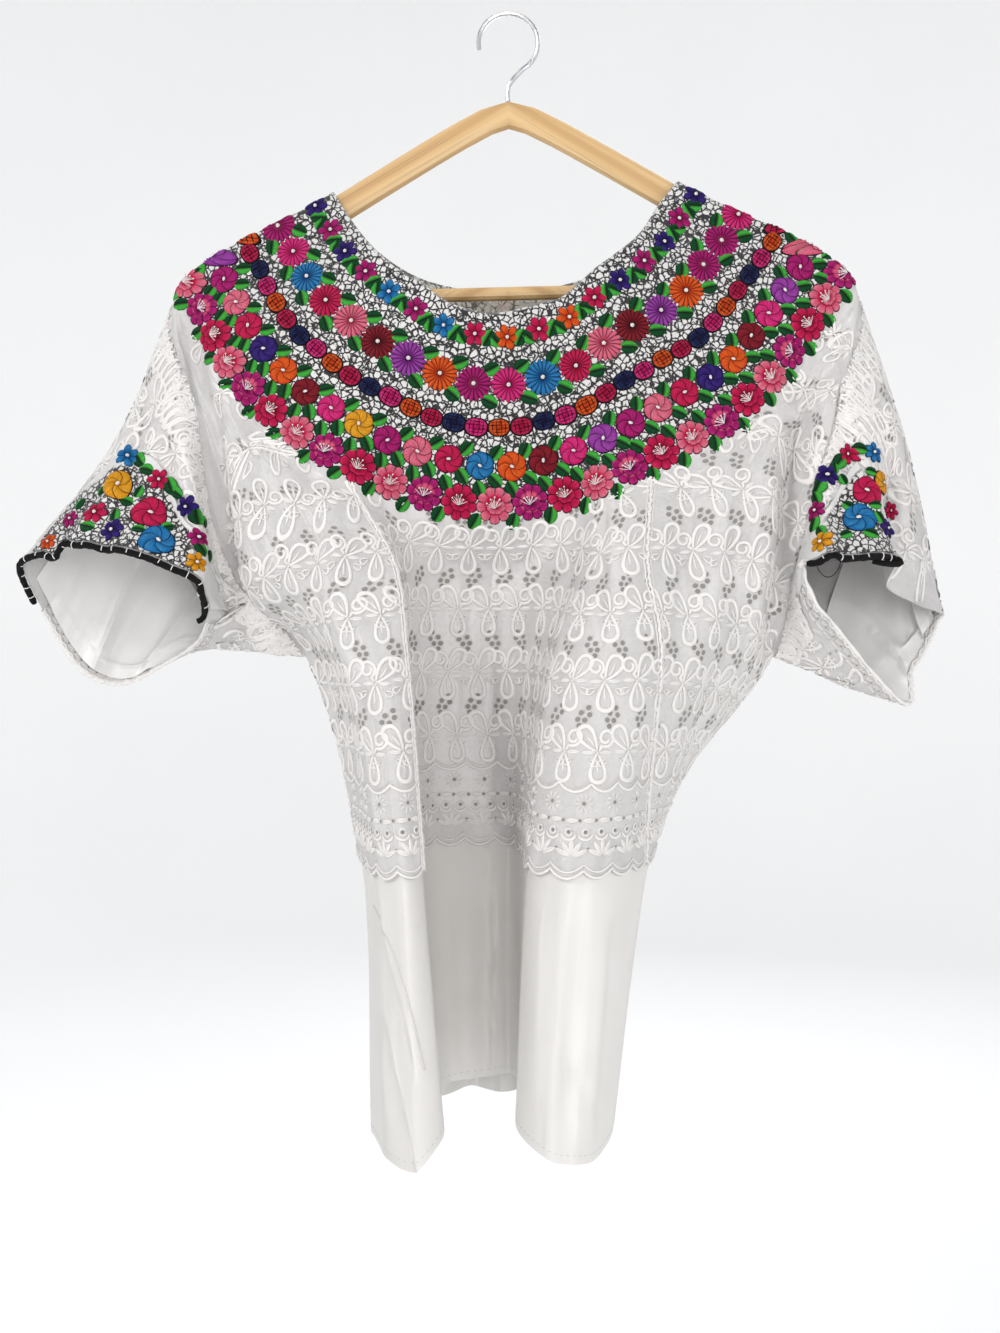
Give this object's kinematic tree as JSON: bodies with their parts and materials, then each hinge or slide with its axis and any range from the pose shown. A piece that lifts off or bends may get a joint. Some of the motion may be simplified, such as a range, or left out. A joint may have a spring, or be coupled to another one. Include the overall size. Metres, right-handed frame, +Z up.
{
  "type": "huipil blouse on a wooden hanger",
  "caption": "White eyelet lace blouse with a round flower-embroidered yoke, wide sleeves and a plain under layer, hanging open and empty on a wooden hanger.",
  "frame": {"origin": "inside top of the hanger's hook, where a rail holds it", "axes": "+Z up, +X to the right of someone looking at the front, front faces -Y"},
  "size_m": [0.6616, 0.1986, 0.8092],
  "materials": {
    "lace": "matt white cotton with satin stitch",
    "embroidered_yoke": "glossy embroidery thread on white ground",
    "embroidered_patch": "glossy embroidery thread on white ground",
    "under_cloth": "matt white plain cloth",
    "binding": "matt black tape with white stitches",
    "wood": "varnished pale wood",
    "steel": "bright bent rod"
  },
  "bodies": {
    "root": {"yoke_front": "embroidered_yoke", "yoke_back": "embroidered_yoke", "body_front": "lace", "body_front_left": "lace", "body_front_right": "lace", "body_back": "lace", "sleeve_left": "lace", "sleeve_right": "lace", "patch_left": "embroidered_patch", "patch_right": "embroidered_patch", "lining_left": "under_cloth", "lining_right": "under_cloth", "tail_front": "under_cloth", "tail_back": "under_cloth", "binding_left": "binding", "binding_right": "binding", "hanger_arms": "wood", "hanger_bar": "wood", "hanger_hook": "steel"}
  },
  "joints": []
}
